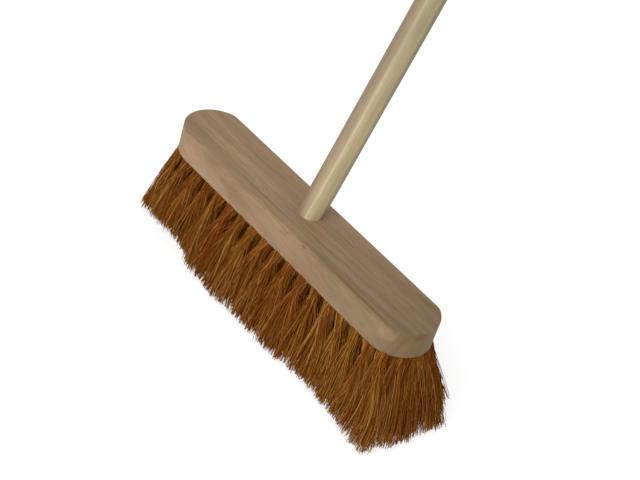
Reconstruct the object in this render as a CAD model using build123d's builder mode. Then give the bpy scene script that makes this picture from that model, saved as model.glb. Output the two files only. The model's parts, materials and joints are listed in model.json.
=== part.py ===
from build123d import *
import math
import os

# Push broom: a wooden block set with coir tufts, and a round wooden handle pushed into a slanted socket.
# Millimetres. X runs along the head, the handle leans back towards +Y, and Z is up.
# The origin is in the plane of the bristle tips, straight under the middle of the block.

# Block
BLOCK_LENGTH = 305.0
BLOCK_WIDTH = 60.0
BLOCK_HEIGHT = 25.0
TOP_EDGE_RADIUS = 4.0  # planed along both long edges before the ends are sawn round
BOTTOM_EDGE_RADIUS = 0.5

# Handle and its socket
HANDLE_LENGTH = 1200.0
HANDLE_RADIUS = 11.0
HANDLE_LEAN = 16.8  # degrees from upright
HANDLE_AXIS_Y = 4.8  # where the axis crosses the block's top face
SOCKET_DEPTH = 18.0  # straight down from the top face to the middle of the socket's floor
SOCKET_CLEARANCE = 0.05
SEAT_RADIUS = 10.7  # the lower end is sanded down a little to a push fit
SEAT_LENGTH = 24.0
SEAT_TAPER = 16.0  # length over which the seat swells to the full radius
SEAT_CHAMFER = 1.5

# Bristles
TRIM = 65.0  # from the block's underside to the tips
PITCH = 16.0  # from tuft to tuft along a row
RING_INSET = 6.0  # the outer ring of tufts follows the edge of the block at this distance
RING_ROW_TUFTS = 16  # along each long side
RING_END_TUFTS = 4  # round each end
INNER_ROW_Y = 8.0
INNER_ROW_REACH = 8  # tufts either side of the middle of an inner row
FAN_X = 1.12  # the tips spread to this many times the spacing at the block
FAN_Y = 1.73
SET_X = 3.0  # all the tips have taken a lean from use
SET_Y = 4.0

# One tuft, its hole and its staple
HOLE_RADIUS = 4.75
HOLE_DEPTH = 12.0
TUFT_CLEARANCE = 0.1
TUFT_NECK = 2.0  # the tuft stays round for this far below the block
TIP_HALF_X = 8.7
TIP_HALF_Y = 13.3
END_TIP_RADIUS = 8.6
MIDDLE_GAP = 0.6  # left between the tips of the tufts either side of the bare patch under the socket
STAPLE_WIRE_RADIUS = 0.6
STAPLE_HALF_SPAN = 3.4
STAPLE_BEND_RADIUS = 1.5
STAPLE_CROWN_DEPTH = 9.0  # the fibres are doubled over the crown
STAPLE_BITE = 4.0  # how far the legs go into the wood past the hole

UNDERSIDE = TRIM
TOP = TRIM + BLOCK_HEIGHT
RING_Y = BLOCK_WIDTH / 2 - RING_INSET
END_CENTRE_X = (BLOCK_LENGTH - BLOCK_WIDTH) / 2
HANDLE_DIRECTION = Vector(0, math.sin(math.radians(HANDLE_LEAN)), math.cos(math.radians(HANDLE_LEAN)))
SOCKET_LENGTH = SOCKET_DEPTH / HANDLE_DIRECTION.Z
SOCKET_FLOOR = Vector(0, HANDLE_AXIS_Y, TOP) - HANDLE_DIRECTION * SOCKET_LENGTH

os.makedirs("parts", exist_ok=True)


def save(piece, name):
    """Labels a finished piece and writes it as one STEP file."""
    piece.part.label = name
    export_step(piece.part, f"parts/{name}.step")


def long_row(y):
    """Roots of the ring's tufts along one long side."""
    return [((i - (RING_ROW_TUFTS - 1) / 2) * PITCH, y) for i in range(RING_ROW_TUFTS)]


def end_row(side):
    """Roots of the ring's tufts round one end: side is 1 on the right and -1 on the left."""
    last_x = (RING_ROW_TUFTS - 1) / 2 * PITCH
    path = math.pi * RING_Y + 2 * (END_CENTRE_X - last_x)
    step = path / (RING_END_TUFTS + 1) / RING_Y
    angles = [(i - (RING_END_TUFTS - 1) / 2) * step for i in range(RING_END_TUFTS)]
    return [(side * (END_CENTRE_X + RING_Y * math.cos(a)), RING_Y * math.sin(a)) for a in angles]


def inner_pairs():
    """Roots of the two inner rows as pairs across the block; none stands under the handle's socket."""
    steps = [i for i in range(-INNER_ROW_REACH, INNER_ROW_REACH + 1) if i != 0]
    return [[(i * PITCH, -INNER_ROW_Y), (i * PITCH, INNER_ROW_Y)] for i in steps]


def fanned(root):
    """Where a tuft's tip would be before the bristles took their lean."""
    return root[0] * FAN_X, root[1] * FAN_Y


def hole_plane(root, down=0.0):
    """The plane across a tuft's slanted hole, at a distance below the block: z up the hole, x along Y."""
    tip = fanned(root)
    up = Vector(root[0] - tip[0], root[1] - tip[1], TRIM).normalized()
    across = up.cross(Vector(1, 0, 0))
    return Plane(origin=Vector(root[0], root[1], UNDERSIDE) - up * down, x_dir=across, z_dir=up)


def tip_shape(root):
    """Centre and half sizes of a tuft's cut end."""
    x, y = fanned(root)
    half_x, half_y = TIP_HALF_X, TIP_HALF_Y
    if abs(root[0]) > END_CENTRE_X and abs(root[1]) != INNER_ROW_Y:
        half_x = half_y = END_TIP_RADIUS
    if abs(root[0]) == PITCH and abs(root[1]) == INNER_ROW_Y:
        # beside the bare patch under the socket, the fibres spread to close the gap
        inner_edge = math.copysign(MIDDLE_GAP / 2, x)
        outer_edge = x + math.copysign(TIP_HALF_X, x)
        x = (inner_edge + outer_edge) / 2
        half_x = abs(outer_edge - inner_edge) / 2
    return x + SET_X, y + SET_Y, half_x, half_y


def make_tufts(name, roots):
    """One node of tufts: each is a round plug in its hole that widens to an oval cut end."""
    radius = HOLE_RADIUS - TUFT_CLEARANCE
    with BuildPart() as tufts:
        for root in roots:
            x, y, half_x, half_y = tip_shape(root)
            with BuildSketch(hole_plane(root, -HOLE_DEPTH)):
                Circle(radius)
            with BuildSketch(hole_plane(root, TUFT_NECK)):
                Circle(radius)
            with BuildSketch(Plane(origin=(x, y, 0), x_dir=(0, 1, 0), z_dir=(0, 0, 1))):
                Ellipse(half_y, half_x)
            loft(ruled=True)
    save(tufts, name)


def make_block(all_roots):
    """The planed plank with its ends sawn round, the handle's socket and a hole for every tuft."""
    profile_plane = Plane(origin=(-BLOCK_LENGTH / 2, 0, UNDERSIDE), x_dir=(0, 1, 0), z_dir=(1, 0, 0))
    with BuildPart() as block:
        with BuildSketch(profile_plane):
            outline = Rectangle(BLOCK_WIDTH, BLOCK_HEIGHT, align=(Align.CENTER, Align.MIN))
            fillet(outline.vertices().group_by(Axis.Y)[-1], TOP_EDGE_RADIUS)
        extrude(amount=BLOCK_LENGTH)
        with BuildSketch(Plane.XY.offset(UNDERSIDE)):
            SlotOverall(BLOCK_LENGTH, BLOCK_WIDTH)
        extrude(amount=BLOCK_HEIGHT, mode=Mode.INTERSECT)
        fillet(block.faces().sort_by(Axis.Z)[0].edges(), BOTTOM_EDGE_RADIUS)
        with BuildSketch(Plane(origin=SOCKET_FLOOR, x_dir=(1, 0, 0), z_dir=HANDLE_DIRECTION)):
            Circle(SEAT_RADIUS + SOCKET_CLEARANCE)
        # past the slanted mouth all round
        extrude(amount=SOCKET_LENGTH + SEAT_RADIUS, mode=Mode.SUBTRACT)
        for root in all_roots:
            with BuildSketch(hole_plane(root, TUFT_NECK)):
                Circle(HOLE_RADIUS)
            extrude(amount=TUFT_NECK + HOLE_DEPTH, mode=Mode.SUBTRACT)
    save(block, "head_block")


def make_staples(all_roots):
    """One U of round wire for every tuft, with its crown across the hole and its legs in the wood."""
    top = HOLE_DEPTH + STAPLE_BITE
    with BuildPart() as staples:
        for root in all_roots:
            hole = hole_plane(root)
            # the U stands in the plane along X, so that neither leg comes near the edge of the block
            side = Plane(origin=hole.origin, x_dir=hole.y_dir, z_dir=hole.y_dir.cross(hole.z_dir))
            with BuildLine(side) as wire:
                FilletPolyline(
                    (-STAPLE_HALF_SPAN, top),
                    (-STAPLE_HALF_SPAN, STAPLE_CROWN_DEPTH),
                    (STAPLE_HALF_SPAN, STAPLE_CROWN_DEPTH),
                    (STAPLE_HALF_SPAN, top),
                    radius=STAPLE_BEND_RADIUS,
                )
            with BuildSketch(Plane(origin=wire.line @ 0, z_dir=wire.line % 0)):
                Circle(STAPLE_WIRE_RADIUS)
            sweep(path=wire.line)
    save(staples, "tuft_staples")


def make_handle():
    """A round stick turned about its own axis: sanded seat, slight swell, long shaft, rounded top."""
    axis_plane = Plane(origin=SOCKET_FLOOR, x_dir=(1, 0, 0), z_dir=Vector(1, 0, 0).cross(HANDLE_DIRECTION))
    shaft_top = HANDLE_LENGTH - HANDLE_RADIUS
    with BuildPart() as handle:
        with BuildSketch(axis_plane):
            with BuildLine():
                Polyline(
                    (0, 0),
                    (SEAT_RADIUS - SEAT_CHAMFER, 0),
                    (SEAT_RADIUS, SEAT_CHAMFER),
                    (SEAT_RADIUS, SEAT_LENGTH),
                    (HANDLE_RADIUS, SEAT_LENGTH + SEAT_TAPER),
                    (HANDLE_RADIUS, shaft_top),
                )
                CenterArc((0, shaft_top), HANDLE_RADIUS, 0, 90)
                Line((0, HANDLE_LENGTH), (0, 0))
            make_face()
        revolve(axis=Axis(SOCKET_FLOOR, HANDLE_DIRECTION))
    save(handle, "handle")


front_row = long_row(-RING_Y)
back_row = long_row(RING_Y)
left_end = end_row(-1)
right_end = end_row(1)
pairs = inner_pairs()
all_roots = front_row + back_row + left_end + right_end + [root for pair in pairs for root in pair]

make_block(all_roots)
make_handle()
make_staples(all_roots)
for number, root in enumerate(front_row, 1):
    make_tufts(f"front_tuft_{number:02d}", [root])
for number, root in enumerate(back_row, 1):
    make_tufts(f"back_tuft_{number:02d}", [root])
for number, root in enumerate(left_end, 1):
    make_tufts(f"left_tuft_{number}", [root])
for number, root in enumerate(right_end, 1):
    make_tufts(f"right_tuft_{number}", [root])
for number, pair in enumerate(pairs, 1):
    make_tufts(f"inner_tufts_{number:02d}", pair)
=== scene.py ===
import json
import math

import bpy
import numpy as np
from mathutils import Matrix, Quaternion, Vector


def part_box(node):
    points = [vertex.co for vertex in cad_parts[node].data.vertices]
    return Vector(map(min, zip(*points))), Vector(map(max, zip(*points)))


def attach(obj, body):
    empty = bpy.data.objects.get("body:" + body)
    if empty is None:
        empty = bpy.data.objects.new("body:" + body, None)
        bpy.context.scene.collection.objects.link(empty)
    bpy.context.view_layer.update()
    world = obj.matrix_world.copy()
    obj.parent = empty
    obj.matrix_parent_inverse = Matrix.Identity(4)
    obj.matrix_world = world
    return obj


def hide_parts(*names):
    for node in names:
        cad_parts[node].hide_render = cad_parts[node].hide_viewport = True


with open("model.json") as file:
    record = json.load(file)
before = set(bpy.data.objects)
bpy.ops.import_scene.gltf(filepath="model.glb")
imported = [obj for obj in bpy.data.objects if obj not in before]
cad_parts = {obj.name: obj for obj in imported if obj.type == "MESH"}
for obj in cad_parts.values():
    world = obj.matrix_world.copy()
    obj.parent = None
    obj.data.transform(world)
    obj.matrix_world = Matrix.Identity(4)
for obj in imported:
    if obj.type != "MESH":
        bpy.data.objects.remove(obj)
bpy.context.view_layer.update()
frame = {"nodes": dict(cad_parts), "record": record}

# Metres and degrees, in the frame of the CAD model: X along the head, Z up, bristle tips at Z = 0.

# Camera: a long lens that looks down on the head from its front right, tilted about its own axis
CAMERA_TARGET = Vector((0.0096, 0.0153, 0.065))
CAMERA_AZIMUTH = 38.84
CAMERA_ELEVATION = 36.44
CAMERA_ROLL = 18.43
CAMERA_DISTANCE = 1.187
CAMERA_LENS = 80.6

# Studio
SKY_BRIGHTNESS = 0.8
KEY_AZIMUTH = 8.0
KEY_ELEVATION = 34.0
KEY_DISTANCE = 1.4
KEY_SIZE = 1.8
KEY_POWER = 13.0
FLOOR_SIZE = 24.0
FLOOR_DROP = 0.0005
FLOOR_GLOW = 0.60

# Block: the heart of the tree that its growth layers run round, and how far they slope along the block
HEART_Y = 0.150
HEART_Z = 0.045
GRAIN_SLOPE = 0.035
RIGHT_SHADE_FROM = 0.5  # painted shade: the share of the length from which the block is painted darker towards the right end
RIGHT_SHADE_TINT = (0.70, 0.69, 0.65, 1.0)  # what is left of each colour at the right end
END_GRAIN_AND_SHADE = 0.5  # how strongly the sawn ends are painted darker: their end grain's own colour and painted shade

# Marks in the block's wood: middle, half sizes, strength and colour
WOOD_MARKS = [
    ((0.032, -0.029, 0.0895), (0.0035, 0.0012, 0.0016), 0.7, (92, 66, 44)),  # dark fleck
    ((0.135, -0.028, 0.083), (0.011, 0.008, 0.007), 0.30, (158, 136, 96)),  # pale patch
    ((0.152, -0.008, 0.0865), (0.006, 0.008, 0.0045), 0.85, (102, 76, 42)),  # dark patch in the end
    ((0.095, -0.0255, 0.090), (0.052, 0.0022, 0.0030), 0.75, (108, 82, 56)),  # dark streak by the edge
    ((0.086, -0.0200, 0.090), (0.018, 0.0009, 0.0020), 0.7, (106, 80, 54)),
    ((0.040, -0.0130, 0.090), (0.026, 0.0010, 0.0020), 0.6, (108, 84, 58)),
    ((-0.028, -0.0190, 0.090), (0.048, 0.0010, 0.0020), 0.6, (108, 84, 58)),
]

# Handle: the way across its growth layers, where its axis lies in their colours, how far they wander
LAYER_WAY = Vector((0.66, 0.60, 0.0))
LAYER_MIDDLE = 0.43
LAYER_WANDER = 0.003
FOOT_LIGHT_REACH = 0.18  # painted light: the stick is painted brighter near the block, fading out at this height above it
FOOT_LIGHT_GAIN = 1.25  # times the brightness of its colours at the block, and further up
UPPER_GAIN = 0.94

# Reading the CAD tufts
NECK_REACH = 0.003  # the round neck of a tuft lies within this distance below the block
TIP_TOLERANCE = 0.00001
PAIR_WIDTH = 0.015  # a node that is wider than this at its roots holds two tufts
OUTER_RING = 0.016  # roots further than this from the middle line are in the outer ring
NEIGHBOUR_REACH = 0.08
SWIRL = 0.016  # how far use has bent the tips at the right end round towards the front

# Fibres
SEED = 7
RING_FIBRES = 640  # in each tuft of the outer ring
INNER_FIBRES = 320
FIBRE_SIDES = 3
FIBRE_STEPS = 13
STEP_GROWTH = 1.5  # the steps are shorter near the block, where the fibres turn most
FIBRE_RADIUS = 0.00025
THICKNESS = (0.7, 1.45)  # of that radius, from fibre to fibre
TIP_THICKNESS = 0.9  # of a fibre's thickness at the block
ROOT_DEPTH = 0.004  # inside the block
ROOT_FILL = 0.92  # of the hole's radius
ROOT_CROWDING = 0.55  # below 1, more of the fibres stand near the edge of the hole, where they are seen
KNEE = 0.5  # share of the length over which the core of a tuft still follows its hole
FLARE_OUT = (0.85, 1.25)  # how soon the fibres spread away from the head; 1 is straight lines
FLARE_ALONG = (0.9, 2.7)  # and along the row
SWELL_OUT = 0.25  # how much wider than its hole a tuft becomes right below the block
SWELL_ALONG = 0.90  # and along the row, where there is room
SWELL_SPEED = 150  # the higher, the closer to the block it has swollen
LOCK_CROSSING = 0.0050  # how far the tip of a lock of fibres strays from its own place in the tuft
FIBRE_CROSSING = 0.0020
OVERLAP = 1.5  # how far the tips of neighbouring tufts reach into each other; 1 is not at all
LOCKS = 110  # in each tuft
CLING = (0.0, 0.4)  # how far a fibre moves to the middle of its lock
FIBRE_SHIFT = 0.0011  # usual distance by which a single tip is out of its place
TUFT_SHIFT = 0.0014  # and by which all the tips of a tuft are
STRAYS = 0.04  # share of the fibres whose tips are further out of place
STRAY_SHIFT = 0.0025
SHIFT_LIMIT = 2.0  # times the usual distance; no tip is further out
LOCK_CUT = 0.0012  # usual height of a lock's tips over the floor
FIBRE_CUT = 0.0006
SHORT_FIBRES = 0.08  # share of the fibres that are broken
SHORT_LENGTH = (0.5, 0.9)  # what is left of their length
WAVES = (0.6, 2.0)  # along the whole length of a fibre or a lock
WAVE_SWING = 0.0010
UNRULY = 0.3  # share of the fibres that swing further than the rest
UNRULY_SWING = 0.0029
SWING_LIMIT = 1.5  # times the usual swing; no fibre goes further
LOCK_SWING = 0.0007
BOW = 0.005  # how far the middle of a fibre in front at the right end stands out to the right
BOW_FROM = 0.03  # it begins here along the head and is full a little further on
BOW_REACH = 0.06
TIP_CALM = 0.7  # share of the waves that is gone at the tips
FIBRE_SHADE = (1.2, 2.0)  # shape of the spread from the dark fibres to the few pale ones
LOCK_SHADE = 0.14
TUFT_SHADE = 0.02
MIDDLE_TINT = 0.5  # half way from the redder browns to the more olive ones
FIBRE_TINT = 0.12
LOCK_TINT = 0.15
TUFT_TINT = 0.12

# Outline of the tips in millimetres: worn back at the front left, square at the right
TIP_OUTLINE = [
    (-166, -14), (-150, -43), (-84, -46), (-64, -56), (-36, -56),
    (50, -55), (82, -50), (171, -55), (179, -30), (180, 26),
    (158, 54), (110, 60), (-100, 58), (-145, 50), (-164, 28),
]


def rest_vertices(node):
    """The vertices of a CAD node as an array."""
    mesh = frame["nodes"][node].data
    points = np.empty(len(mesh.vertices) * 3, np.float32)
    mesh.vertices.foreach_get("co", points)
    return points.reshape(-1, 3).astype(float)


# ---------------------------------------------------------------- materials


class Shader:
    """Builds one material node by node."""

    def __init__(self, name):
        self.material = bpy.data.materials.new(name)
        self.material.use_nodes = True
        self.tree = self.material.node_tree
        self.surface = self.tree.nodes["Principled BSDF"]

    def add(self, kind, inputs=None, **settings):
        """Adds a node; an input is either a value or the output of another node."""
        node = self.tree.nodes.new("ShaderNode" + kind)
        for name, value in settings.items():
            setattr(node, name, value)
        for name, value in (inputs or {}).items():
            self.put(node.inputs[name], value)
        return node

    def put(self, socket, value):
        if isinstance(value, bpy.types.NodeSocket):
            self.tree.links.new(value, socket)
        else:
            socket.default_value = value

    def maths(self, operation, first, second=0.0, clamp=False):
        node = self.add("Math", {0: first, 1: second}, operation=operation, use_clamp=clamp)
        return node.outputs[0]

    def stretch(self, vector, scale, offset=(0.0, 0.0, 0.0)):
        node = self.add("Mapping", {"Vector": vector, "Scale": scale, "Location": offset})
        return node.outputs[0]

    def noise(self, vector, detail=2.0, roughness=0.5, distortion=0.0):
        """Noise of about one feature per unit of the vector."""
        inputs = {"Vector": vector, "Scale": 1.0, "Detail": detail, "Roughness": roughness,
                  "Distortion": distortion}
        return self.add("TexNoise", inputs).outputs[0]

    def ramp(self, factor, stops):
        """Colours or greys at positions from 0 to 1."""
        node = self.add("ValToRGB", {"Fac": factor})
        elements = node.color_ramp.elements
        while len(elements) < len(stops):
            elements.new(1.0)
        for element, (position, colour) in zip(elements, stops):
            element.position = position
            element.color = colour if isinstance(colour, tuple) else (colour, colour, colour, 1.0)
        return node.outputs[0]

    def mix(self, factor, first, second, blend="MIX"):
        inputs = {"Fac": factor, "Color1": first, "Color2": second}
        return self.add("MixRGB", inputs, blend_type=blend).outputs[0]

    def bump(self, height, distance, strength=1.0):
        inputs = {"Height": height, "Distance": distance, "Strength": strength}
        self.put(self.surface.inputs["Normal"], self.add("Bump", inputs).outputs[0])

    def finish(self, colour, roughness, specular=0.3):
        self.put(self.surface.inputs["Base Color"], colour)
        self.put(self.surface.inputs["Roughness"], roughness)
        self.surface.inputs["Specular IOR Level"].default_value = specular
        return self.material


def srgb(red, green, blue):
    """A linear colour from its usual 0 to 255 values."""
    def linear(value):
        share = value / 255
        return share / 12.92 if share <= 0.04045 else ((share + 0.055) / 1.055) ** 2.4
    return (linear(red), linear(green), linear(blue), 1.0)


def mark(shader, place, centre, size):
    """How strongly a point lies in a soft-edged oval mark: 1 in its middle and 0 outside."""
    away = shader.add("VectorMath", {0: place, 1: centre}, operation="SUBTRACT").outputs[0]
    share = shader.add("VectorMath", {0: away, 1: size}, operation="DIVIDE").outputs[0]
    distance = shader.add("VectorMath", {0: share}, operation="LENGTH").outputs["Value"]
    return shader.ramp(distance, [(0.5, 1.0), (1.0, 0.0)])


def growth_layers(shader, place):
    """Coordinates that follow the block's growth layers: along, out from the heart and round it."""
    split = shader.add("SeparateXYZ", {0: place})
    across = shader.maths("SUBTRACT", split.outputs[1], HEART_Y)
    height = shader.maths("SUBTRACT", split.outputs[2], HEART_Z)
    from_heart = shader.add("CombineXYZ", {0: across, 1: height}).outputs[0]
    radius = shader.add("VectorMath", {0: from_heart}, operation="LENGTH").outputs["Value"]
    slope = shader.maths("MULTIPLY", split.outputs[0], GRAIN_SLOPE)
    layer = shader.maths("ADD", radius, slope)
    turn = shader.maths("ARCTAN2", height, across)
    return shader.add("CombineXYZ", {0: split.outputs[0], 1: layer, 2: turn}).outputs[0]


def shade_and_marks(shader, colour, coordinates):
    """The wood's colour: painted darker to the right as shade, darker at the sawn ends from end grain
    and painted shade, and darker in some marks.
    """
    place = coordinates.outputs["Object"]
    low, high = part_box("head_block")
    x = shader.add("SeparateXYZ", {0: place}).outputs[0]
    along = shader.maths("DIVIDE", shader.maths("SUBTRACT", x, low.x), high.x - low.x)
    # painted shade: the block is darkened towards its right end
    right_shade = shader.ramp(along, [(RIGHT_SHADE_FROM, 0.0), (1.0, 1.0)])
    colour = shader.mix(right_shade, colour, RIGHT_SHADE_TINT, "MULTIPLY")
    # the sawn ends are painted darker: partly the end grain's own colour, partly painted shade on the
    # end faces
    facing = shader.add("SeparateXYZ", {0: coordinates.outputs["Normal"]}).outputs[0]
    ends = shader.maths("POWER", shader.maths("ABSOLUTE", facing), 2.0)
    colour = shader.mix(shader.maths("MULTIPLY", ends, END_GRAIN_AND_SHADE), colour, srgb(96, 76, 30))
    for centre, size, strength, paint in WOOD_MARKS:
        spot = shader.maths("MULTIPLY", mark(shader, place, centre, size), strength)
        colour = shader.mix(spot, colour, srgb(*paint))
    return colour


def block_wood():
    """Planed beech with its growth layers on edge: streaked top, calm sides, short dark dashes."""
    shader = Shader("block_wood")
    coordinates = shader.add("TexCoord")
    place = coordinates.outputs["Object"]
    grain = growth_layers(shader, place)
    wander = shader.noise(shader.stretch(grain, (14, 60, 4)), detail=2.0)
    bands = shader.noise(shader.stretch(grain, (8, 170, 2)), detail=2.0, distortion=0.5)
    streaks = shader.noise(shader.stretch(grain, (26, 620, 9)), detail=3.0, roughness=0.6)
    dashes = shader.noise(shader.stretch(place, (60, 1100, 1100)), detail=2.0)
    fine = shader.noise(shader.stretch(place, (90, 2400, 2400)), detail=2.0)
    hue = shader.noise(shader.stretch(place, (34, 90, 90), (3.0, 1.0, 2.0)), detail=2.0)

    tone = shader.mix(0.45, bands, streaks)
    tone = shader.mix(0.25, tone, fine)
    tone = shader.mix(0.2, tone, wander)
    colour = shader.ramp(tone, [
        (0.38, srgb(114, 92, 68)),
        (0.47, srgb(136, 111, 84)),
        (0.55, srgb(149, 123, 94)),
        (0.64, srgb(164, 138, 108)),
    ])
    warm = shader.ramp(hue, [(0.35, 0.0), (0.65, 1.0)])
    colour = shader.mix(0.35, colour, shader.mix(warm, srgb(138, 120, 84), srgb(154, 118, 94)))
    dash = shader.ramp(dashes, [(0.57, 0.0), (0.68, 0.55)])
    colour = shader.mix(dash, colour, srgb(108, 84, 58))
    colour = shade_and_marks(shader, colour, coordinates)
    shader.bump(shader.mix(0.5, streaks, fine), 0.00008, 0.5)
    roughness = shader.ramp(fine, [(0.3, 0.55), (0.7, 0.68)])
    return shader.finish(colour, roughness, 0.25)


def handle_wood():
    """Pale softwood stick cut from straight layers: brownish, cream and olive stripes along it; painted
    light brightens it near the block.
    """
    shader = Shader("handle_wood")
    coordinates = shader.add("TexCoord")
    grip = next(m for m in frame["record"]["mounts"] if m["name"] == "handle_grip")
    axis = Vector(grip["axis"])
    grip_place = Vector(grip["pos_m"])
    diameter = 2 * grip["dims"]["r_mm"] / 1000
    layer_way = (LAYER_WAY - axis * LAYER_WAY.dot(axis)).normalized()
    other_way = axis.cross(layer_way)
    here = coordinates.outputs["Object"]
    offset = shader.add("VectorMath", {0: here, 1: grip_place}, operation="SUBTRACT")

    def along(direction):
        node = shader.add("VectorMath", {0: offset.outputs[0], 1: direction}, operation="DOT_PRODUCT")
        return node.outputs["Value"]

    stick = shader.add("CombineXYZ", {0: along(layer_way), 1: along(other_way), 2: along(axis)})
    place = stick.outputs[0]
    wander = shader.noise(shader.stretch(place, (20, 20, 3)), detail=1.0)
    level = shader.maths("ADD", along(layer_way), shader.maths("MULTIPLY", wander, LAYER_WANDER))
    share = shader.maths("ADD", shader.maths("DIVIDE", level, diameter), LAYER_MIDDLE)
    layers = shader.ramp(share, [
        (0.00, srgb(130, 111, 87)),
        (0.27, srgb(155, 136, 106)),
        (0.30, srgb(178, 161, 130)),
        (0.42, srgb(166, 151, 119)),
        (0.60, srgb(156, 140, 106)),
        (0.78, srgb(165, 149, 111)),
        (0.90, srgb(128, 113, 86)),
    ])
    streaks = shader.noise(shader.stretch(place, (700, 700, 12)), detail=4.0, roughness=0.6)
    blotches = shader.noise(shader.stretch(place, (110, 110, 22)), detail=2.0)
    streaks = shader.mix(0.4, streaks, blotches)
    colour = shader.mix(1.0, layers, shader.ramp(streaks, [(0.36, 0.74), (0.64, 1.04)]), "MULTIPLY")
    # painted light: the colours are brightened near the block and dimmed a little further up
    height = shader.add("SeparateXYZ", {0: here}).outputs[2]
    height = shader.maths("SUBTRACT", height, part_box("head_block")[1].z)
    light_fade = shader.maths("DIVIDE", height, FOOT_LIGHT_REACH, clamp=True)
    gain = shader.maths("ADD", shader.maths("MULTIPLY", light_fade, UPPER_GAIN - FOOT_LIGHT_GAIN), FOOT_LIGHT_GAIN)
    colour = shader.add("VectorMath", {0: colour, "Scale": gain}, operation="SCALE").outputs[0]
    fine = shader.noise(shader.stretch(place, (2600, 2600, 50)), detail=2.0)
    shader.bump(fine, 0.00008, 0.6)
    roughness = shader.ramp(fine, [(0.3, 0.42), (0.7, 0.55)])
    return shader.finish(colour, roughness, 0.35)


def coir():
    """Coconut fibre: each has its own brown, some redder, some more olive; painted shade darkens them
    all near the block.
    """
    shader = Shader("coir")
    shade, tint, length = (shader.add("Attribute", attribute_name=name).outputs["Fac"]
                           for name in ("shade", "tint", "length"))
    place = shader.add("TexCoord").outputs["Object"]
    mottle = shader.noise(shader.stretch(place, (900, 900, 160)), detail=2.0)
    tone = shader.mix(0.2, shade, mottle)
    red = shader.ramp(tone, [
        (0.08, srgb(98, 42, 0)),
        (0.42, srgb(130, 69, 14)),
        (0.72, srgb(158, 101, 42)),
        (1.00, srgb(184, 138, 86)),
    ])
    olive = shader.ramp(tone, [
        (0.08, srgb(94, 48, 0)),
        (0.42, srgb(124, 76, 14)),
        (0.72, srgb(153, 109, 44)),
        (1.00, srgb(180, 144, 88)),
    ])
    colour = shader.mix(tint, red, olive)
    # painted shade: the fibres are darkened near the block, where the tufts crowd together under it
    root = shader.ramp(length, [(0.0, 0.3), (0.3, 0.0)])
    colour = shader.mix(root, colour, srgb(96, 52, 16))
    roughness = shader.ramp(mottle, [(0.3, 0.55), (0.7, 0.75)])
    return shader.finish(colour, roughness, 0.08)


def staple_wire():
    """Drawn steel wire with fine lengthwise marks."""
    shader = Shader("staple_wire")
    place = shader.add("TexCoord").outputs["Object"]
    marks = shader.noise(shader.stretch(place, (3000, 3000, 300)), detail=2.0)
    colour = shader.ramp(marks, [(0.3, srgb(150, 148, 144)), (0.7, srgb(190, 188, 184))])
    shader.surface.inputs["Metallic"].default_value = 1.0
    return shader.finish(colour, shader.ramp(marks, [(0.3, 0.3), (0.7, 0.45)]), 0.5)


def floor_paint():
    """Plain white, and lit a little from within like a light table."""
    shader = Shader("floor_paint")
    shader.surface.inputs["Emission Color"].default_value = (1, 1, 1, 1)
    shader.surface.inputs["Emission Strength"].default_value = FLOOR_GLOW
    return shader.finish(srgb(184, 184, 184), 0.9, 0.05)


# ---------------------------------------------------------------- tufts


def middle(points):
    """The middle of the points' box."""
    return (points.min(0) + points.max(0)) / 2


def tufts_of(node, underside, spine_end):
    """The tufts in one CAD node, each with its root, way down, radius, tip and way outward."""
    points = rest_vertices(node)
    in_hole = points[:, 2] > underside
    at_neck = (points[:, 2] > underside - NECK_REACH) & (points[:, 2] < underside)
    at_tip = points[:, 2] < TIP_TOLERANCE
    groups = [np.ones(len(points), bool)]
    if np.ptp(points[in_hole, 1]) > PAIR_WIDTH:  # two tufts, parted by a plane between them
        top, bottom = middle(points[in_hole]), middle(points[at_tip])
        share = (top[2] - points[:, 2]) / (top[2] - bottom[2])
        parting = top[1] + (bottom[1] - top[1]) * share
        groups = [points[:, 1] < parting, points[:, 1] >= parting]
    tufts = []
    for group in groups:
        top, neck = middle(points[group & in_hole]), middle(points[group & at_neck])
        down = (neck - top) / np.linalg.norm(neck - top)
        tip = points[group & at_tip][:, :2]
        root = neck + down * (underside - neck[2]) / down[2]
        spine = np.array([np.clip(root[0], -spine_end, spine_end), 0.0])
        reach = np.linalg.norm(root[:2] - spine)
        outward = (root[:2] - spine) / reach
        swirl = SWIRL * max(outward[0], 0)
        tufts.append({
            "root": root,
            "down": down,
            "radius": np.ptp(points[group & in_hole], axis=0).max() / 2,
            "tip": middle(tip) + swirl * np.array([outward[1], -outward[0]]),
            "half": np.ptp(tip, axis=0) / 2,
            "outward": outward,
            "ring": reach > OUTER_RING,
        })
    return tufts


def cell_walls(tuft, all_tips):
    """Lines round the area that a tuft's tips cover: (ways, distances) from the middle of its tip.

    There is one line for each neighbour, half way to it times OVERLAP, and in the outer ring one more
    at the tuft's own outer side.
    """
    away = all_tips - tuft["tip"]
    distance = np.linalg.norm(away, axis=1)
    near = (distance > TIP_TOLERANCE) & (distance < NEIGHBOUR_REACH)
    ways = np.vstack([away[near] / distance[near, None], tuft["outward"]])
    outer = np.linalg.norm(tuft["half"] * tuft["outward"]) if tuft["ring"] else NEIGHBOUR_REACH
    return ways, np.append(distance[near] / 2 * OVERLAP, outer)


def inside_outline(points):
    """Whether points lie inside the worn outline of the tips."""
    inside = np.zeros(len(points), bool)
    corners = np.array(TIP_OUTLINE) / 1000
    for (x0, y0), (x1, y1) in zip(corners, np.roll(corners, -1, axis=0)):
        crosses = (y0 > points[:, 1]) != (y1 > points[:, 1])
        with np.errstate(divide="ignore", invalid="ignore"):
            edge_x = x0 + (points[:, 1] - y0) * (x1 - x0) / (y1 - y0)
        inside ^= crosses & (points[:, 0] < edge_x)
    return inside


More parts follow.
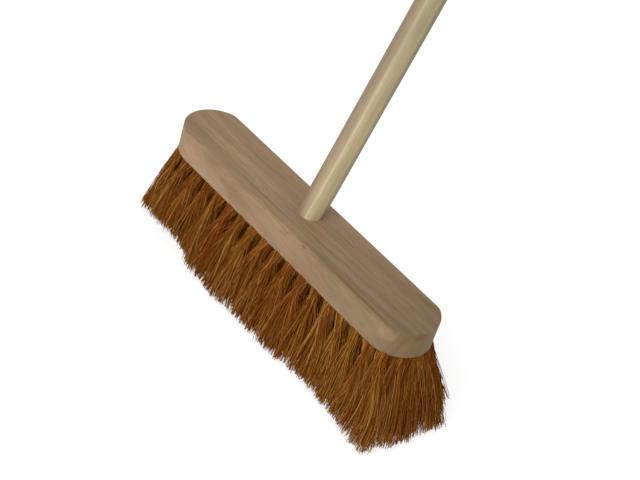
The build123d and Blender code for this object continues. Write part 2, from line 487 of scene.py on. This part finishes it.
def cell_points(tuft, walls, count, chance):
    """Points spread evenly over a tuft's tip, and the same points squeezed into a disc of radius 1."""
    ways, distances = walls
    middle_ways, middle_distances = (ways[:-1], distances[:-1]) if tuft["ring"] else walls
    points = np.empty((0, 2))
    while len(points) < count:
        tries = chance.uniform(-NEIGHBOUR_REACH / 2, NEIGHBOUR_REACH / 2, (count * 4, 2))
        inside = (tries @ middle_ways.T < middle_distances).all(1) & inside_outline(tries + tuft["tip"])
        points = np.vstack([points, tries[inside]])
    points = points[:count]
    used = np.clip((points @ ways.T / distances).max(1), 0, 1)  # 0 in the middle and 1 at the wall
    length = np.linalg.norm(points, axis=1)
    return points, points / length[:, None] * used[:, None] ** ROOT_CROWDING


def fibre_tips(tuft, walls, count, chance):
    """The fibres' tips from the middle of the tuft's tip, their places in the hole, and their locks.

    Neighbours cling together in locks, which cross each other on their way down.
    """
    spot, disc = cell_points(tuft, walls, count, chance)
    heart = spot[chance.choice(count, LOCKS, replace=False)]
    lock = np.argmin(((spot[:, None] - heart[None]) ** 2).sum(2), 1)
    spot = spot + (heart[lock] - spot) * chance.uniform(*CLING, (count, 1))
    crossed = spot + chance.normal(0, LOCK_CROSSING, (LOCKS, 2))[lock]
    crossed += chance.normal(0, FIBRE_CROSSING, (count, 2))
    spot = np.where(inside_outline(crossed + tuft["tip"])[:, None], crossed, spot)
    stray = chance.uniform(0, 1, (count, 1)) < STRAYS
    shift = np.clip(chance.normal(0, 1, (count, 2)), -SHIFT_LIMIT, SHIFT_LIMIT)
    spot += shift * np.where(stray, STRAY_SHIFT, FIBRE_SHIFT)
    spot += chance.normal(0, TUFT_SHIFT, 2)
    return spot, disc, lock


def root_places(tuft, disc):
    """Where the fibres leave the block, from the middle of the tuft's root."""
    side = np.cross(tuft["down"], (0, -1, 0))
    side /= np.linalg.norm(side)
    front = np.cross(tuft["down"], side)
    return tuft["radius"] * ROOT_FILL * (disc[:, :1] * side + disc[:, 1:] * front)


def core_path(tuft, t):
    """The middle of a tuft's fibres: it follows the hole at first and then turns towards the tip."""
    tip = np.append(tuft["tip"], 0.0)
    knee = tuft["root"] + tuft["down"] * KNEE * np.linalg.norm(tip - tuft["root"])
    return (1 - t) ** 2 * tuft["root"] + 2 * (1 - t) * t * knee + t ** 2 * tip


def waves(turns, swing, t):
    """Waves along the fibres that grow from nothing at the block and calm down towards the tips."""
    return np.sin(2 * math.pi * turns) * (swing * np.sqrt(t) * (1 - TIP_CALM * t))


def fibre_waves(t, chance):
    """How far single fibres are out of line along their length."""
    count = len(t)
    turns = chance.uniform(*WAVES, (count, 1, 2)) * t + chance.uniform(0, 1, (count, 1, 2))
    swing = np.clip(chance.normal(0, 1, (count, 1, 2)), -SWING_LIMIT, SWING_LIMIT)
    swing *= np.where(chance.uniform(0, 1, (count, 1, 1)) < UNRULY, UNRULY_SWING, WAVE_SWING)
    return waves(turns, swing, t)


def lock_waves(t, lock, chance):
    """How far whole locks of fibres are out of line along their length."""
    turns = chance.uniform(*WAVES, (LOCKS, 1, 2))[lock] * t
    turns += chance.uniform(0, 1, (LOCKS, 1, 2))[lock]
    swing = chance.normal(0, LOCK_SWING, (LOCKS, 1, 2))[lock]
    return waves(turns, swing, t)


def bow(tuft, t):
    """How far the front tufts at the right end stand out to the right between their roots and tips."""
    share = np.clip((tuft["root"][0] - BOW_FROM) / BOW_REACH, 0, 1) * max(-tuft["outward"][1], 0)
    # 4 t (1 - t) is 1 half way down and 0 at both ends
    return BOW * share * 4 * (t * (1 - t))[:, :, 0]


def fibre_colours(lock, chance):
    """The shade and the tint of each fibre, from 0 to 1; those of a lock and of a tuft are alike."""
    count = len(lock)
    shades = chance.beta(*FIBRE_SHADE, count) + chance.normal(0, LOCK_SHADE, LOCKS)[lock]
    shades += chance.normal(0, TUFT_SHADE)
    tints = chance.normal(MIDDLE_TINT, FIBRE_TINT, count) + chance.normal(0, LOCK_TINT, LOCKS)[lock]
    tints += chance.normal(0, TUFT_TINT)
    return np.clip(shades, 0, 1), np.clip(tints, 0, 1)


def fibre_lines(tuft, walls, chance):
    """Middle lines of one tuft's fibres, from inside the block to the tips, with shades and tints."""
    count = RING_FIBRES if tuft["ring"] else INNER_FIBRES
    spot, disc, lock = fibre_tips(tuft, walls, count, chance)
    cut = np.abs(chance.normal(0, LOCK_CUT, LOCKS))[lock] + np.abs(chance.normal(0, FIBRE_CUT, count))
    short = chance.uniform(0, 1, count) < SHORT_FIBRES
    worn = np.where(short, chance.uniform(*SHORT_LENGTH, count), 1.0)

    near_root = root_places(tuft, disc)
    spread = np.column_stack([spot, cut]) - near_root
    outward = np.append(tuft["outward"], 0.0)
    out = (spread @ outward)[:, None] * outward
    root_out = (near_root @ outward)[:, None] * outward
    swollen = root_out * SWELL_OUT + (near_root - root_out) * SWELL_ALONG

    # t is 0 at the block and 1 at a whole fibre's tip
    t = np.linspace(0, 1, FIBRE_STEPS)[None, :, None] ** STEP_GROWTH * worn[:, None, None]
    lines = core_path(tuft, t) + near_root[:, None]
    lines += out[:, None] * (1 - (1 - t) ** chance.uniform(*FLARE_OUT, (count, 1, 1)))
    lines += (spread - out)[:, None] * (1 - (1 - t) ** chance.uniform(*FLARE_ALONG, (count, 1, 1)))
    lines += swollen[:, None] * (1 - t) * (1 - (1 - t) ** SWELL_SPEED)
    lines[:, :, :2] += fibre_waves(t, chance)
    lines[:, :, :2] += lock_waves(t, lock, chance)
    lines[:, :, 0] += bow(tuft, t)
    starts = tuft["root"] + near_root - tuft["down"] * ROOT_DEPTH
    lines = np.concatenate([starts[:, None], lines], 1)
    shades, tints = fibre_colours(lock, chance)
    return lines, shades, tints


def tubes(lines, radii):
    """Vertices and faces of closed tubes along the lines, with no twist."""
    count, points = lines.shape[:2]
    tangents = np.gradient(lines, axis=1)
    tangents /= np.linalg.norm(tangents, axis=2, keepdims=True)
    across = np.cross(tangents, (0.0, 1.0, 0.0))
    across /= np.linalg.norm(across, axis=2, keepdims=True)
    up = np.cross(tangents, across)
    turns = 2 * math.pi * np.arange(FIBRE_SIDES) / FIBRE_SIDES
    ring = (
        np.cos(turns)[None, None, :, None] * across[:, :, None]
        + np.sin(turns)[None, None, :, None] * up[:, :, None]
    )
    vertices = (lines[:, :, None] + ring * radii[:, :, None, None]).reshape(-1, 3)
    first = (np.arange(count) * points * FIBRE_SIDES)[:, None, None]
    row = (np.arange(points - 1) * FIBRE_SIDES)[None, :, None]
    here = np.arange(FIBRE_SIDES)[None, None, :]
    after = (here + 1) % FIBRE_SIDES
    quads = np.stack([
        first + row + here,
        first + row + after,
        first + row + FIBRE_SIDES + after,
        first + row + FIBRE_SIDES + here,
    ], -1).reshape(-1, 4)
    ends = first[:, 0] + np.arange(FIBRE_SIDES)[None]
    caps = np.concatenate([ends[:, ::-1], ends + (points - 1) * FIBRE_SIDES])
    return vertices, quads, caps


def put_attribute(mesh, name, values):
    """Stores one number for every vertex."""
    attribute = mesh.attributes.new(name, "FLOAT", "POINT")
    attribute.data.foreach_set("value", values.astype(np.float32))


def fibre_piece(name, lines, shades, tints, material, chance):
    """One mesh of all the fibres along the given lines."""
    count, points = lines.shape[:2]
    share = np.linspace(0, 1, points)
    thickness = FIBRE_RADIUS * chance.uniform(*THICKNESS, (count, 1))
    vertices, quads, caps = tubes(lines, thickness * (1 - (1 - TIP_THICKNESS) * share ** 2))
    # a fibre that would reach into the floor ends on it
    vertices[:, 2] = np.maximum(vertices[:, 2], 0.0)
    mesh = bpy.data.meshes.new(name)
    mesh.vertices.add(len(vertices))
    mesh.vertices.foreach_set("co", vertices.astype(np.float32).ravel())
    corners = np.concatenate([quads.ravel(), caps.ravel()]).astype(np.int32)
    sizes = np.concatenate([np.full(len(quads), 4), np.full(len(caps), FIBRE_SIDES)])
    starts = np.concatenate([[0], np.cumsum(sizes)[:-1]]).astype(np.int32)
    mesh.loops.add(len(corners))
    mesh.loops.foreach_set("vertex_index", corners)
    mesh.polygons.add(len(sizes))
    mesh.polygons.foreach_set("loop_start", starts)
    mesh.polygons.foreach_set("use_smooth", np.ones(len(sizes), bool))
    mesh.update(calc_edges=True)
    put_attribute(mesh, "shade", np.repeat(shades, points * FIBRE_SIDES))
    put_attribute(mesh, "tint", np.repeat(tints, points * FIBRE_SIDES))
    put_attribute(mesh, "length", np.tile(np.repeat(share, FIBRE_SIDES), count))
    mesh.materials.append(material)
    piece = bpy.data.objects.new(name, mesh)
    bpy.context.scene.collection.objects.link(piece)
    return piece


def make_tufts():
    """Replaces every CAD tuft by its fibres."""
    material = coir()
    low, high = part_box("head_block")
    spine_end = (high.x - low.x) / 2 - (high.y - low.y) / 2
    names = sorted(name for name in frame["nodes"] if "_tuft" in name)
    tufts = {name: tufts_of(name, low.z, spine_end) for name in names}
    all_tips = np.array([tuft["tip"] for group in tufts.values() for tuft in group])
    chance = np.random.default_rng(SEED)
    for name in names:
        made = [fibre_lines(tuft, cell_walls(tuft, all_tips), chance) for tuft in tufts[name]]
        lines, shades, tints = (np.concatenate(part) for part in zip(*made))
        piece = fibre_piece(name + "_fibres", lines, shades, tints, material, chance)
        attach(piece, "head")
        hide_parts(name)


# ---------------------------------------------------------------- scene


def direction(azimuth, elevation):
    """From the object towards a place: azimuth 0 is in front and 90 to the right."""
    turn, lift = math.radians(azimuth), math.radians(elevation)
    return Vector((math.sin(turn) * math.cos(lift), -math.cos(turn) * math.cos(lift), math.sin(lift)))


def make_camera():
    back = direction(CAMERA_AZIMUTH, CAMERA_ELEVATION)
    roll = Quaternion((0, 0, 1), math.radians(CAMERA_ROLL))
    camera = bpy.data.objects.new("camera", bpy.data.cameras.new("camera"))
    camera.data.lens = CAMERA_LENS
    camera.rotation_mode = "QUATERNION"
    camera.rotation_quaternion = back.to_track_quat("Z", "Y") @ roll
    camera.location = CAMERA_TARGET + back * CAMERA_DISTANCE
    bpy.context.scene.collection.objects.link(camera)
    bpy.context.scene.camera = camera


def make_studio():
    """White floor, even white surroundings and one large soft light in front."""
    scene = bpy.context.scene
    scene.view_settings.view_transform = "Standard"
    world = bpy.data.worlds.new("studio")
    world.use_nodes = True
    world.node_tree.nodes["Background"].inputs["Color"].default_value = (1, 1, 1, 1)
    world.node_tree.nodes["Background"].inputs["Strength"].default_value = SKY_BRIGHTNESS
    scene.world = world

    back = direction(KEY_AZIMUTH, KEY_ELEVATION)
    key = bpy.data.objects.new("key", bpy.data.lights.new("key", "AREA"))
    key.data.shape = "DISK"
    key.data.size = KEY_SIZE
    key.data.energy = KEY_POWER
    key.rotation_mode = "QUATERNION"
    key.rotation_quaternion = back.to_track_quat("Z", "Y")
    key.location = back * KEY_DISTANCE
    scene.collection.objects.link(key)

    half = FLOOR_SIZE / 2
    mesh = bpy.data.meshes.new("floor")
    corners = [(-half, -half), (half, -half), (half, half), (-half, half)]
    mesh.from_pydata([(x, y, -FLOOR_DROP) for x, y in corners], [], [(0, 1, 2, 3)])
    mesh.materials.append(floor_paint())
    floor = bpy.data.objects.new("floor", mesh)
    scene.collection.objects.link(floor)


def cover(node, material):
    """Gives a carried-over CAD node its material."""
    mesh = frame["nodes"][node].data
    mesh.materials.clear()
    mesh.materials.append(material)


make_camera()
make_studio()
cover("head_block", block_wood())
cover("handle", handle_wood())
cover("tuft_staples", staple_wire())
make_tufts()
